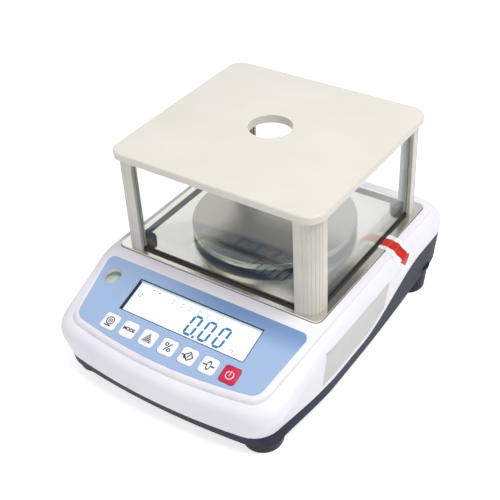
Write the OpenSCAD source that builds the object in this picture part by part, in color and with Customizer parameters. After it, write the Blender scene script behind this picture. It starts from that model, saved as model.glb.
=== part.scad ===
// Precision balance with a glass draft shield, as an assembly of its real pieces.
// Millimetres. +X is to the right, +Y to the back, +Z up.
// The origin is on the table, under the middle of the housing.

/* [Housing] */
// Width of the white deck beside the plate, out to the housing's widest line
deck_side = 13; // [12:0.5:16]
// Depth of the white deck behind the plate
deck_rear = 18.75; // [16:0.25:24]
// Depth of the white deck between the panel and the plate
deck_lip = 2.75; // [2:0.25:5]
// Height of the deck, where the white top is flat
deck_z = 68; // [66:0.5:73]
// Wall thickness of both mouldings
wall = 2.5; // [2:0.1:3]
// Tilt of the operating panel
panel_slope = 18; // [15:0.5:20]
// Radius of the bowed front, seen from above
front_radius = 470; // [380:5:700]
// Corner radius at the front
corner_front = 20; // [16:1:26]
// Corner radius at the rear
corner_rear = 20; // [16:1:24]
// How far each side draws in towards the front
side_taper = 4; // [0:0.5:5]
// Width of the soft shoulder round the plateau
shoulder_w = 7; // [6:0.5:8]
// Height of that shoulder
shoulder_h = 9; // [7:0.5:11]
// Depth of the groove round the plateau, below its top
groove_drop = 3.5; // [3:0.1:4.5]
// How far the plateau draws in towards the front
plateau_taper = 9.6; // [8:0.2:11]
// How far the walls draw in from their widest line down to the underside
draft = 4; // [3:0.2:5]
// How far the foot of each side wall draws in towards the front
base_taper = 8.5; // [7:0.5:9]

/* [Parting line] */
// Height of the line between the mouldings at the front
part_front = 20; // [18:0.5:22]
// Height of that line along the front half of the sides
part_side = 21.3; // [20:0.1:23]
// Height of that line at the rear
part_rear = 47.5; // [45:0.5:49]
// Height of the underside at the front
base_z = 11; // [10:0.5:12]
// Height of the underside at the rear
base_rear_z = 24; // [22:0.5:26]

/* [Draft shield] */
// Width over the corner posts
shield_w = 162.7; // [158:0.1:166]
// Depth over the corner posts
shield_d = 152.8; // [148:0.1:156]
// Height of the corner posts
post_h = 75.3; // [65:0.1:90]
// Length of each arm of a corner post
post_arm = 16; // [14:0.5:18]
// Thickness of each arm
post_t = 7.2; // [6.8:0.1:7.6]
// Rounding of a post's outer corner
post_r = 11; // [9:0.5:12]
// Number of flutes round a post's corner
flutes = 6; // [4:1:7]
// Thickness of the glass
glass_t = 3; // [2.5:0.1:3.2]
// Distance of the glass's middle from a post's outer face
glass_inset = 4.2; // [4:0.1:4.4]
// Depth that the glass enters a post
glass_grip = 4.5; // [4:0.1:5]
// Height of the rubber seal under the glass
seal_h = 1.6; // [1:0.1:2.4]
// Width of that seal
seal_w = 4.4; // [3.6:0.1:5]
// Overhang of the lid beyond the posts
lid_over = 2.75; // [1.5:0.05:3.5]
// Thickness of the lid
lid_t = 6.2; // [5:0.1:8]
// Corner radius of the lid, seen from above
lid_r = 12; // [10:0.5:14]
// Rounding of the lid's top edge
lid_edge = 1.6; // [1:0.1:2.4]
// Diameter of the hole in the lid
lid_hole_d = 32; // [26:1:40]
// Offset of that hole from the lid's centre
lid_hole_at = [-2.5, 3.5];

/* [Tray plate] */
// Height of the plate's top above the deck
plate_proud = 1.3; // [0.8:0.1:1.8]
// Thickness of the steel sheet
plate_t = 1; // [0.8:0.1:1.2]
// Margin of the plate beyond the posts at the sides
plate_margin_x = 4.15; // [3:0.05:4.5]
// Margin of the plate beyond the posts at the front and back
plate_margin_y = 2.35; // [1.5:0.05:3]
// Height of the plate's turned-down edge
plate_skirt = 4.3; // [3.8:0.1:5]
// Diameter of the rubber knobs on the plate
knob_d = 11.4; // [10:0.1:11.6]
// Height of the rubber knobs
knob_h = 4.5; // [3:0.1:6]

/* [Weighing pan] */
// Diameter of the pan
pan_d = 120; // [100:1:122]
// Height of the pan's rim
pan_rim = 4.9; // [4:0.1:6]
// Gap between the plate and the pan's rim
pan_gap = 4.7; // [4:0.1:6]
// Thickness of the pan's sheet
pan_t = 1.2; // [1:0.1:1.6]
// Diameter of the stud that carries the pan
stud_d = 16; // [14:0.5:18]

/* [Display and keys] */
// Width of the display window
window_w = 105.2; // [100:0.2:108]
// Height of the display window along the slope
window_h = 27.4; // [26:0.2:28]
// Sideways place of the window's middle
window_x = 2.3; // [-2:0.1:4]
// Distance from the panel's top edge to the window
window_below = 16.2; // [14:0.1:20]
// Size of a key
key_s = 12.5; // [11.5:0.1:13]
// Distance from key to key
key_pitch = 16.9; // [16:0.1:17.5]
// Sideways place of the middle key
keys_x = 1.1; // [-2:0.1:3]
// Distance from the window to the keys
key_gap = 5.15; // [4:0.05:8]
// Distance from the keys to the housing's front, along the slope
key_front = 18.65; // [18:0.05:24]
// Travel of a key
key_travel = 0.4; // [0.3:0.05:0.5]
// Thickness of the printed overlay
overlay_t = 0.5; // [0.4:0.05:0.7]
// Border between the plateau's edge and the overlay
overlay_border = 5; // [4.4:0.2:5.6]
// Distance of the bubble level from the housing's side
level_in = 26.5; // [25:0.5:30]
// Distance from the panel's top edge to the level's middle
level_below = 21.5; // [20:0.5:26]
// Diameter of the bubble level
level_d = 12; // [10:0.5:13]

/* [Feet] */
// Diameter of a levelling foot
foot_d = 31; // [28:1:33]
// How far a foot narrows towards the table
foot_taper = 1.5; // [0.5:0.1:2.5]
// Diameter of a foot's threaded stud
foot_stud_d = 8; // [6:0.5:10]
// Sideways place of the front feet
foot_front_x = 72.5; // [69:0.5:74]
// Sideways place of the rear feet
foot_rear_x = 80; // [74:0.5:80.5]
// Distance of the front feet from the front
foot_front_in = 28; // [26:0.5:30]
// Distance of the rear feet from the rear wall
foot_rear_in = 31.5; // [28:0.5:34]
// Gap between a foot and the housing above it
foot_gap = 1; // [0.6:0.1:1.6]

/* [Load cell] */
// Length of the load cell
cell_l = 120; // [110:1:122]
// Width of the load cell
cell_w = 25; // [20:1:30]
// Height of the load cell
cell_h = 21; // [19:0.5:21.5]

/* [Hidden] */
$fn = 64;

// Clearances that more than one piece shares
fit_gap = 0.15;      // between a pane and its slot, on each face
run_gap = 0.05;      // round a shaft that turns or slides in its bore
part_gap = 0.3;      // between pieces that move past each other
seat_gap = 0.05;     // under a piece that rests by its weight
over_gap = 0.5;      // round a piece that is seen in a larger hole
over = 1;            // how far a cutting tool reaches past the face it cuts

// Display and level, as far as the housing's width depends on them
lcd_edge = 4;
lcd_edge_v = 3;
frame_rim = 1.5;
cup_wall = 1.5;
display_left = window_w / 2 + lcd_edge + frame_rim - window_x;

// Places worked out from the driving sizes: the housing is as wide and deep as what it holds
plate_w = shield_w + 2 * plate_margin_x;
plate_d = shield_d + 2 * plate_margin_y;
panel_run = (window_below + window_h + key_gap + key_s + key_front) * cos(panel_slope);
body_w = max(plate_w + 2 * deck_side, 2 * (display_left + level_d / 2 + cup_wall + part_gap + level_in));
body_d = panel_run + deck_lip + plate_d + deck_rear;
front_y = -body_d / 2;
back_y = body_d / 2;
half_w = body_w / 2;
shield_y = back_y - deck_rear - plate_d / 2;
plate_r = 5;
plate_gap = 0.5;
plate_z = deck_z + plate_proud;
recess_z = plate_z - plate_skirt;
crease_y = front_y + panel_run;
crease_soft = 6;
window_v = -window_below - window_h / 2;
keys_v = window_v - window_h / 2 - key_gap - key_s / 2;
level_x = level_in - half_w;
post_top = plate_z + post_h;
lid_w = shield_w + 2 * lid_over;
lid_d = shield_d + 2 * lid_over;
pan_top = plate_z + pan_gap + pan_rim;
deck_under = recess_z - wall;

function lerp(a, b, t) = a + (b - a) * t;
function ease(t) = let (u = min(max(t, 0), 1)) u * u * (3 - 2 * u);

// Height of the white top above a place y: a flat deck, a soft crease and the sloping panel
function top_z(y) =
  y >= crease_y + crease_soft ? deck_z :
  y <= crease_y - crease_soft ? deck_z + (y - crease_y) * tan(panel_slope) :
  deck_z - tan(panel_slope) * pow(crease_y + crease_soft - y, 2) / (4 * crease_soft);

// Height of the line between the two mouldings: a small step beside the panel, then the long climb
part_step = 16;
part_climb = [crease_y + 47.5, back_y - 47.5];
function part_z(y) =
  y < crease_y ? lerp(part_front, part_side, ease((y - crease_y + 1.25 * part_step) / part_step)) :
  lerp(part_side, part_rear, ease((y - part_climb[0]) / (part_climb[1] - part_climb[0])));

// Height of the underside, which lifts towards the back
lift_y = crease_y + 50;
lift_power = 1.7;
function under_z(y) =
  base_z + (base_rear_z - base_z) * pow(max(y - lift_y, 0) / (back_y - lift_y), lift_power);

// Half of a plan outline, from the middle of the front to the middle of the back.
// hw is its half width, k its taper, front and radius its bow, in the distance inside the outline
bow_steps = 6;
corner_steps = 6;
taper_soft = 24;
// The inner roof bends where the hollow below the panel meets the underside of the plate's recess
roof_bend = min(-crease_soft - 0.5, (deck_under + wall / cos(panel_slope) - deck_z) / tan(panel_slope));
side_places = [-26, -16, roof_bend, -crease_soft, -2, 2, crease_soft, 14, 22, 60];
taper_y = crease_y + 12;
function half_outline(hw, k, front, radius, rf, rr, back, in) =
  let (
    ty = taper_y, arc_y = front + radius,
    w = hw - in, rad = radius - in, r = max(rf - in, 1), r2 = max(rr - in, 1), by = back - in,
    a = w - k * (ty - taper_soft / 2) - r * sqrt(1 + k * k),
    qa = k * k + 1, qb = 2 * (a * k - arc_y), qc = a * a + arc_y * arc_y - pow(rad - r, 2),
    cy = (-qb - sqrt(qb * qb - 4 * qa * qc)) / (2 * qa),
    cx = a + k * cy,
    t1 = atan2(cx, arc_y - cy),
    t2 = atan2(1, k))
  concat(
    [for (i = [0 : bow_steps - 1]) let (t = t1 * i / bow_steps) [rad * sin(t), arc_y - rad * cos(t)]],
    [for (i = [0 : corner_steps]) let (t = lerp(t1, t2, i / corner_steps)) [cx + r * sin(t), cy - r * cos(t)]],
    [for (s = side_places) let (y = crease_y + s, u = ty - y)
      [w - k * (u <= 0 ? 0 : u < taper_soft ? u * u / (2 * taper_soft) : u - taper_soft / 2), y]],
    [for (i = [0 : corner_steps]) let (t = 90 + 90 * i / corner_steps)
      [w - r2 + r2 * sin(t), by - r2 - r2 * cos(t)]]);

// The housing's widest line, its outline at the seam's height, its foot, and its raised plateau
seam_z = part_front;
seam_in = draft - 0.7;
foot_bow = 130;
function crest_line(in) =
  half_outline(half_w, tan(side_taper), front_y, front_radius, corner_front, corner_rear, back_y, in);
function seam_line(in) =
  half_outline(half_w - seam_in, tan(base_taper), front_y + seam_in / 2, front_radius,
    corner_front, corner_rear, back_y - seam_in / 2, in);
function foot_line(in) =
  half_outline(half_w - draft, tan(base_taper - 2), front_y + draft + 0.8, front_radius + foot_bow,
    corner_front, corner_rear, back_y - draft, in);
plateau_front = front_y + shoulder_w + 1;
function plateau_line(in) =
  half_outline(half_w - shoulder_w, tan(plateau_taper), plateau_front, front_radius - 2 * shoulder_w,
    corner_front - shoulder_w, corner_rear - shoulder_w / 2, back_y - shoulder_w, in);

// A half outline and its mirror image as one closed ring. A point on the middle line is kept once
function ring(half) = concat(half,
  [for (i = [len(half) - 1 : -1 : half[0][0] == 0 ? 1 : 0]) [-half[i][0], half[i][1], half[i][2]]]);
// The point of a ring of m points that mirrors point j
function twin(j, m) = m % 2 == 1 ? (m - j) % m : m - 1 - j;

// A closed solid through a stack of rings, which all have the same number of points.
// Each cap is laid across from side to side, so a top that bends along Y stays true.
module loft(rings) {
  m = len(rings[0]);
  n = ceil(m / 2);
  last = (len(rings) - 1) * m;
  polyhedron(
    points = [for (r = rings) for (p = r) p],
    faces = concat(
      [for (k = [0 : len(rings) - 2]) for (j = [0 : m - 1]) [k * m + j, (k + 1) * m + j, (k + 1) * m + (j + 1) % m]],
      [for (k = [0 : len(rings) - 2]) for (j = [0 : m - 1]) [k * m + j, (k + 1) * m + (j + 1) % m, k * m + (j + 1) % m]],
      [for (j = [0 : n - 2]) [j, j + 1, twin(j + 1, m)]],
      [for (j = [m % 2 : n - 2]) [j, twin(j + 1, m), twin(j, m)]],
      [for (j = [0 : n - 2]) [last + j, last + twin(j + 1, m), last + j + 1]],
      [for (j = [m % 2 : n - 2]) [last + j, last + twin(j, m), last + twin(j + 1, m)]]));
}

// Level ring on an outline
function groove_z(y) = top_z(y) - groove_drop;
function wall_top(y) = groove_z(y) - shoulder_h;
function level_ring(line, z) = ring([for (p = line) [p[0], p[1], z]]);
// Ring between the seam's height and the widest line, a fraction f of the way up
function wall_ring(in, f) =
  let (low = seam_line(in), high = crest_line(in))
  ring([for (i = [0 : len(low) - 1])
    let (x = lerp(low[i][0], high[i][0], f), y = lerp(low[i][1], high[i][1], f))
    [x, y, lerp(seam_z, wall_top(high[i][1]), f)]]);
// Rings on the shoulder, from the widest line up to the groove: shares of its width and height
shoulder_shape = [[0.08, 0.36], [0.26, 0.64], [0.6, 0.88], [1, 1]];
function shoulder_ring(s) =
  let (b = crest_line(0), g = plateau_line(0))
  ring([for (i = [0 : len(b) - 1])
    let (x = lerp(b[i][0], g[i][0], s[0]), y = lerp(b[i][1], g[i][1], s[0]))
    [x, y, lerp(wall_top(b[i][1]), groove_z(g[i][1]), s[1])]]);
// Ring on the plateau's edge, some way below its top
function plateau_ring(in, below) =
  ring([for (p = plateau_line(in)) [p[0], p[1], top_z(p[1]) - below]]);

// The whole outer form that both mouldings share, up to the groove
module outer_form() {
  loft(concat(
    [level_ring(foot_line(1), base_z / 2), level_ring(foot_line(0), base_z), wall_ring(0, 0), wall_ring(0, 1)],
    [for (s = shoulder_shape) shoulder_ring(s)]));
}
module plateau_form() {
  loft([plateau_ring(0, groove_drop + 4), plateau_ring(0.2, 2.4), plateau_ring(0.9, 0.9),
    plateau_ring(2, 0.2), plateau_ring(3.2, 0)]);
}
// The hollow inside the top moulding: it stays a wall below the panel and below the plate's recess
function inner_top(y) = min(deck_under, top_z(y) - wall / cos(panel_slope));
module inner_form() {
  loft([level_ring(foot_line(wall), 0), wall_ring(wall, 0), wall_ring(wall, 0.9),
    ring([for (p = plateau_line(wall + 0.4)) [p[0], p[1], min(groove_z(p[1]) - wall - 0.7, inner_top(p[1]) - 0.4)]]),
    ring([for (p = plateau_line(wall + 1.4)) [p[0], p[1], inner_top(p[1])]])]);
}

// Everything between two heights that follow Y, made of points along a profile
profile_step = 6;
function profile_y() = [for (y = [front_y - over : profile_step : back_y + profile_step]) y];
module side_band(low, high) {
  rotate([90, 0, 90])
    linear_extrude(body_w + 2 * over, center = true)
      polygon(concat(
        [for (i = [0 : len(low) - 1]) low[i]],
        [for (i = [len(high) - 1 : -1 : 0]) high[i]]));
}

module rounded_rect(w, d, r) {
  square([w - 2 * r, d], center = true);
  square([w, d - 2 * r], center = true);
  for (x = [-1, 1], y = [-1, 1]) translate([x * (w / 2 - r), y * (d / 2 - r)]) circle(r);
}
module slab(w, d, h, r) { linear_extrude(h) rounded_rect(w, d, r); }

// Puts its children on the operating panel: x sideways, v up the slope from the crease, w out of it
module on_panel(x, v, w = 0) {
  translate([0, crease_y, deck_z]) rotate([panel_slope, 0, 0]) translate([x, v, w]) children();
}
// Puts its children at the shield's centre, on the plate
module at_shield(z = plate_z) { translate([0, shield_y, z]) children(); }

// Housing

connector_x = [-58, -30];
bay = [62, 7, 15];
connector_z = part_rear - wall - 1.2 - bay[2] / 2;
bay_x = (connector_x[0] + connector_x[1]) / 2;
bay_back_y = back_y - bay[1];
screw_at = [for (x = [-1, 1], y = [crease_y - 4, shield_y + 34]) [x * (half_w - 14), y]];
level_y = crease_y - level_below * cos(panel_slope) - 1;
level_top = deck_z - (level_below + level_d / 2) * tan(panel_slope) - 2;
display_boss_out = 9;
display_boss_d = 5;
display_boss_at = [for (x = [-1, 1], v = [-1, 1])
  [window_x + x * (window_w / 2 + display_boss_out), window_v + v * (window_h / 2 + 1)]];

module top_housing() {
  color("GhostWhite") {
    difference() {
      union() {
        outer_form();
        plateau_form();
      }
      inner_form();
      side_band(
        [[front_y - over, -over], [back_y + over, -over]],
        [for (y = profile_y()) [y, part_z(y)]]);
      at_shield(recess_z) slab(plate_w + 2 * plate_gap, plate_d + 2 * plate_gap, 20, plate_r + plate_gap);
      at_shield(deck_under - over) cylinder(d = stud_d + 20, h = 20);
      on_panel(window_x, window_v, -wall - over)
        linear_extrude(wall + 2 * over) square([window_w, window_h], center = true);
      for (i = [0 : 6]) key_place(i, -wall - over)
        slab(key_s + 2 * part_gap, key_s + 2 * part_gap, wall + 2 * over, key_r + part_gap);
      level_hole();
      knob_stems(knob_stem_d + 0.2, 3 * wall);
    }
    for (p = screw_at) translate([p[0], p[1], part_z(p[1])]) difference() {
      cylinder(d = 9, h = inner_top(p[1]) + 0.6 - part_z(p[1]));
      translate([0, 0, -over]) cylinder(d = 2.8, h = 16);
    }
    for (p = display_boss_at) on_panel(p[0], p[1], -display_depth) difference() {
      cylinder(d = display_boss_d, h = display_depth - wall + 0.2);
      translate([0, 0, -over]) cylinder(d = display_screw_d + 2 * run_gap, h = frame_t);
    }
  }
}

// Upright hole over the bubble level, through the panel and the overlay
module level_hole() {
  translate([level_x, level_y, level_top - vial_h]) cylinder(d = level_d + 2 * over_gap, h = deck_z);
}
// The bay for the connectors, or with a wall round it
module bay_box(grow) {
  translate([bay_x, back_y, connector_z])
    cube([bay[0] + 2 * grow, 2 * (bay[1] + grow), bay[2] + 2 * grow], center = true);
}
// Hole through the bay's back wall: round for the inlet, and a rectangle for the serial port
module connector_hole(c) {
  if (c == 0) cylinder(d = inlet_d, h = 4 * wall, center = true);
  else cube([serial_w, serial_h, 4 * wall], center = true);
}

foot_at = [[-foot_front_x, front_y + foot_front_in], [foot_front_x, front_y + foot_front_in],
  [-foot_rear_x, back_y - foot_rear_in], [foot_rear_x, back_y - foot_rear_in]];
foot_top = [for (p = foot_at) under_z(p[1]) + (p[1] > 0 ? 1.2 : 0) - foot_gap];
insert_d = 13;
insert_h = 11;
cell_y = shield_y;
chassis_z = under_z(cell_y + cell_l / 2 + 4) + wall + 1.5;
chassis_t = 4;
chassis_w = 60;
chassis_d = cell_l + 7;
chassis_boss_at = [for (x = [-1, 1], y = [-1, 1]) [x * (chassis_w / 2 - 6), cell_y + y * (chassis_d / 2 - 8)]];
board_z = chassis_z + 7;
board_w = 43;
board_d = 84;
board_t = 1.6;
board_gap = 2.5;
board_at = [-chassis_w / 2 - board_gap - board_w / 2, cell_y - 8];
standoff_in = 4;
standoff_d = 6;
standoff_screw = 2.8;
function standoff_z(y) = under_z(y) + wall + 2;
standoff_at = [for (x = [-1, 1], y = [-1, 1])
  [board_at[0] + x * (board_w / 2 - standoff_in), board_at[1] + y * (board_d / 2 - standoff_in)]];

module base_housing() {
  color("#32374C") difference() {
    union() {
      difference() {
        intersection() {
          outer_form();
          side_band([for (y = profile_y()) [y, under_z(y)]], [for (y = profile_y()) [y, part_z(y) - part_gap]]);
        }
        difference() {
          intersection() {
            translate([0, 0, -over]) linear_extrude(deck_z)
              polygon([for (p = ring(foot_line(wall))) [p[0], p[1]]]);
            side_band([for (y = profile_y()) [y, under_z(y) + wall]], [for (y = profile_y()) [y, deck_z]]);
          }
          bay_box(wall);
        }
      }
      for (i = [0 : 3]) translate([foot_at[i][0], foot_at[i][1], foot_top[i] + foot_gap])
        cylinder(d = insert_d + 6, h = insert_h + 1);
      for (i = [2 : 3]) translate([foot_at[i][0], foot_at[i][1], foot_top[i] + foot_gap])
        cylinder(d = foot_d + 3, h = wall);
      for (p = screw_at) translate([p[0], p[1], under_z(p[1])])
        cylinder(d = 9, h = part_z(p[1]) - part_gap - under_z(p[1]));
      for (p = chassis_boss_at) translate([p[0], p[1], under_z(p[1]) + wall / 2])
        cylinder(d = 10, h = chassis_z - under_z(p[1]) - wall / 2);
      for (p = standoff_at) translate([p[0], p[1], under_z(p[1]) + wall / 2])
        cylinder(d = standoff_d + 3, h = standoff_z(p[1]) - under_z(p[1]) - wall / 2);
    }
    for (i = [0 : 3]) translate([foot_at[i][0], foot_at[i][1], 0]) {
      translate([0, 0, -over]) cylinder(d = foot_d + 2, h = foot_top[i] + foot_gap + over);
      translate([0, 0, foot_top[i]]) cylinder(d = foot_stud_d + 2, h = 40);
      translate([0, 0, foot_top[i] + foot_gap + 1]) cylinder(d = insert_d, h = 40);
    }
    for (p = screw_at) translate([p[0], p[1], 0]) {
      cylinder(d = 3.4, h = deck_z);
      cylinder(d = 6.4, h = under_z(p[1]) + 3);
    }
    for (p = chassis_boss_at) translate([p[0], p[1], under_z(p[1]) + wall]) cylinder(d = 3, h = chassis_z);
    bay_box(0);
    for (c = [0 : 1]) translate([connector_x[c], bay_back_y, connector_z]) rotate([90, 0, 0]) connector_hole(c);
  }
}

// A screw that points up, with its head's underside at the origin
module screw(d, l, head_d, head_h) {
  cylinder(d = d, h = l);
  translate([0, 0, -head_h]) cylinder(d = head_d, h = head_h);
}
module housing_screws() {
  color("Silver") for (p = screw_at) translate([p[0], p[1], under_z(p[1]) + 3])
    screw(2.6, part_z(p[1]) - under_z(p[1]) + 8, 5.6, 2.2);
}

// Feet

stud_reach = 15;
module foot_disc(i) {
  r = foot_d / 2;
  color("#272340") translate([foot_at[i][0], foot_at[i][1], 0]) difference() {
    rotate_extrude() polygon([[0, 0], [r - foot_taper - 1.6, 0], [r - foot_taper - 0.5, 0.5],
      [r - foot_taper, 1.6], [r, foot_top[i] - 0.8], [r - 0.6, foot_top[i]], [0, foot_top[i]]]);
    translate([0, 0, 2]) cylinder(d = foot_stud_d + 2 * run_gap, h = foot_top[i]);
  }
}
module foot_stud(i) {
  color("Silver") translate([foot_at[i][0], foot_at[i][1], 2 + part_gap])
    cylinder(d = foot_stud_d, h = foot_top[i] + foot_gap + stud_reach);
}
module foot_inserts() {
  color("DarkGoldenrod") for (i = [0 : 3])
    translate([foot_at[i][0], foot_at[i][1], foot_top[i] + foot_gap + 1]) difference() {
      cylinder(d = insert_d, h = insert_h);
      translate([0, 0, -over]) cylinder(d = foot_stud_d + 2 * run_gap, h = insert_h + 2 * over);
    }
}

// Load cell and what carries it

spacer_l = 25;
spacer_t = 4;
cell_z = chassis_z + chassis_t + spacer_t;
cell_top = cell_z + cell_h;
cell_back = cell_y + cell_l / 2;
cell_front = cell_y - cell_l / 2;
cell_hole = 6;
arm_t = 5;
arm_step = 3;
module chassis_plate() {
  color("Gainsboro") difference() {
    translate([0, cell_y, chassis_z]) slab(chassis_w, chassis_d, chassis_t, 4);
    for (p = chassis_boss_at) translate([p[0], p[1], chassis_z - over]) cylinder(d = 3.4, h = chassis_t + 2 * over);
    for (x = [-1, 1], y = [6, spacer_l - 6]) translate([x * cell_hole, cell_back - y, chassis_z - over])
      cylinder(d = 4.4, h = chassis_t + 2 * over);
    for (x = [-1, 1]) translate([x * cell_hole, cell_front + 8, chassis_z - over]) cylinder(d = 4, h = chassis_t + 2 * over);
    translate([0, cell_y - 8, chassis_z - over]) slab(30, 50, chassis_t + 2 * over, 6);
  }
}
module chassis_screws() {
  color("Silver") for (p = chassis_boss_at) translate([p[0], p[1], chassis_z + chassis_t])
    rotate([180, 0, 0]) screw(2.9, chassis_z + chassis_t - under_z(p[1]) - wall - 1, 6, 2);
}
module cell_spacer() {
  color("Silver") difference() {
    translate([0, cell_back - spacer_l / 2, chassis_z + chassis_t]) slab(cell_w, spacer_l, spacer_t, 1);
    for (x = [-1, 1], y = [6, spacer_l - 6]) translate([x * cell_hole, cell_back - y, chassis_z])
      cylinder(d = 4.4, h = 3 * spacer_t);
  }
}
// Aluminium beam with two joined bores, which leave the thin places that bend
module load_cell() {
  bore = cell_h / 2 - 2;
  color("LightGray") difference() {
    translate([-cell_w / 2, cell_front, cell_z]) cube([cell_w, cell_l, cell_h]);
    for (y = [-1, 1]) translate([-cell_w / 2 - over, cell_y + y * 16, cell_z + cell_h / 2])
      rotate([0, 90, 0]) cylinder(r = bore, h = cell_w + 2 * over);
    translate([-cell_w / 2 - over, cell_y - 16, cell_z + cell_h / 2 - 4]) cube([cell_w + 2 * over, 32, 8]);
    for (x = [-1, 1], y = [6, spacer_l - 6]) {
      translate([x * cell_hole, cell_back - y, cell_z - over]) cylinder(d = 4, h = 12);
      translate([x * cell_hole, cell_front + y, cell_top - 10]) cylinder(d = 4, h = 12);
    }
  }
}
module cell_screws() {
  color("DimGray") for (x = [-1, 1], y = [6, spacer_l - 6]) {
    translate([x * cell_hole, cell_back - y, chassis_z]) screw(3.9, chassis_t + spacer_t + 9, 7, 2);
    translate([x * cell_hole, cell_front + y, cell_top + arm_step + arm_t])
      rotate([180, 0, 0]) screw(3.9, arm_step + arm_t + 8, 7, 1.6);
  }
}
// Arm that reaches from the cell's free end back to the middle, under the pan
module carrier_arm() {
  color("Silver") difference() {
    union() {
      translate([0, cell_front + spacer_l / 2, cell_top]) slab(cell_w, spacer_l, arm_step + 0.1, 1);
      translate([0, (cell_front + cell_y + 16) / 2, cell_top + arm_step])
        slab(cell_w, cell_y + 16 - cell_front, arm_t, 4);
    }
    for (x = [-1, 1], y = [6, spacer_l - 6]) translate([x * cell_hole, cell_front + y, cell_top - over])
      cylinder(d = 4.4, h = 20);
    at_shield(cell_top) cylinder(d = stud_neck_d, h = 20);
    translate([0, cell_front + 48, cell_top]) slab(10, 26, 20, 4);
  }
}
stud_neck_d = 8;
stud_top = pan_top - pan_t - 2.4;
module carrier_stud() {
  arm_top = cell_top + arm_step + arm_t;
  color("Silver") at_shield(0) {
    translate([0, 0, arm_top - arm_t]) cylinder(d = stud_neck_d - 0.1, h = arm_t + 1);
    translate([0, 0, arm_top]) cylinder(d = stud_d + 6, h = 3);
    translate([0, 0, arm_top]) cylinder(d = stud_d, h = stud_top - arm_top - 1);
    translate([0, 0, stud_top - 1]) cylinder(d1 = stud_d, d2 = stud_d - 2, h = 1);
  }
}
module overload_stops() {
  color("DimGray") for (x = [-1, 1]) translate([x * cell_hole, cell_front + 8, chassis_z - 3]) {
    cylinder(d = 3.9, h = chassis_t + spacer_t + 2.6);
    translate([0, 0, -2]) cylinder(d = 7, h = 2);
    translate([0, 0, chassis_t + 3]) cylinder(d = 7, h = 2);
  }
}
// Main board with its parts as blocks: processor, transformer, two capacitors and a plug for the cell
chip = [14, 14, 1.8];
transformer = [10, 18, 9];
plug = [20, 8, 7];
capacitor_d = 8;
capacitor_h = 11;
solder = 0.1;
module on_board(x, y) { translate([x * board_w, y * board_d, board_t - solder]) children(); }
module main_board() {
  color("DarkGreen") translate([board_at[0], board_at[1], board_z]) {
    difference() {
      slab(board_w, board_d, board_t, 2);
      for (p = standoff_at) translate([p[0] - board_at[0], p[1] - board_at[1], -over])
        cylinder(d = standoff_screw + 2 * run_gap, h = board_t + 2 * over);
    }
    on_board(-0.14, 0.1) slab(chip[0], chip[1], chip[2], 0.5);
    on_board(0.28, -0.17) slab(transformer[0], transformer[1], transformer[2], 1);
    for (y = [-0.33, -0.21]) on_board(-0.33, y) cylinder(d = capacitor_d, h = capacitor_h);
    on_board(0.1, 0.36) slab(plug[0], plug[1], plug[2], 0.5);
  }
}
module board_standoffs() {
  head_h = 1.8;
  color("Gold") for (p = standoff_at) translate([p[0], p[1], 0]) {
    foot_z = standoff_z(p[1]);
    translate([0, 0, foot_z]) cylinder(d = standoff_d, h = board_z - foot_z);
    translate([0, 0, board_z]) cylinder(d = standoff_screw, h = board_t);
    translate([0, 0, board_z + board_t]) cylinder(d = 2 * standoff_screw, h = head_h);
  }
}

// Connectors in the bay at the back

inlet_d = 8;
serial_w = 19;
serial_h = 10.5;
module dc_inlet() {
  color("#222222") translate([connector_x[0], bay_back_y, connector_z]) rotate([-90, 0, 0]) difference() {
    union() {
      translate([0, 0, -wall - 10]) cylinder(d = inlet_d - 0.2, h = 10 + wall + 1);
      cylinder(d = 11, h = 2);
      translate([0, 0, -wall - 2.5]) cylinder(d = 12, h = 2.5, $fn = 6);
    }
    difference() {
      translate([0, 0, -8]) cylinder(d = 5.6, h = 12);
      translate([0, 0, -9]) cylinder(d = 2, h = 10);
    }
  }
}
module serial_port() {
  color("Silver") translate([connector_x[1], bay_back_y, connector_z]) rotate([-90, 0, 0]) {
    difference() {
      union() {
        translate([0, 0, 0.01]) slab(31, 12.5, 1, 1);
        translate([0, 0, 0.5]) slab(17.4, 9, 5.8, 3);
        translate([0, 0, -wall - 6]) slab(serial_w - 0.4, serial_h - 0.4, 7, 1);
      }
      translate([0, 0, 1.4]) slab(16.2, 7.8, 8, 2.4);
    }
    for (x = [-1, 1]) translate([x * 12.5, 0, 0.6]) cylinder(d = 5, h = 4.5, $fn = 6);
    for (x = [-2 : 2]) translate([x * 2.8, -1.4, 1]) cylinder(d = 1, h = 4.4);
    for (x = [-1.5 : 1.5]) translate([x * 2.8, 1.4, 1]) cylinder(d = 1, h = 4.4);
  }
}

// Tray plate

knob_in = post_t + knob_d / 2 + 0.3;
knob_stem_d = 4;
module knob_stems(d, h) {
  for (x = [-1, 1], y = [-1, 1])
    translate([x * (shield_w / 2 - knob_in), shield_y + y * (shield_d / 2 - knob_in), plate_z - plate_t - h])
      cylinder(d = d, h = h + 2 * plate_t);
}
module tray_plate() {
  color("Silver") difference() {
    at_shield(recess_z) slab(plate_w, plate_d, plate_skirt, plate_r);
    at_shield(recess_z - over)
      slab(plate_w - 2 * plate_t, plate_d - 2 * plate_t, plate_skirt - plate_t + over, plate_r - plate_t);
    at_shield(recess_z) cylinder(d = stud_d + 14, h = 20);
    knob_stems(knob_stem_d + 0.2, plate_t);
  }
}
module plate_knobs() {
  stem_h = plate_skirt - plate_t + wall / 2;
  color("#1C1C1E") {
    knob_stems(knob_stem_d, stem_h);
    for (x = [-1, 1], y = [-1, 1])
      translate([x * (shield_w / 2 - knob_in), shield_y + y * (shield_d / 2 - knob_in), plate_z])
        rotate_extrude() union() {
          square([knob_d / 2, knob_h - 1]);
          square([knob_d / 2 - 1, knob_h]);
          translate([knob_d / 2 - 1, knob_h - 1]) circle(1);
        }
  }
}

// Weighing pan

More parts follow.
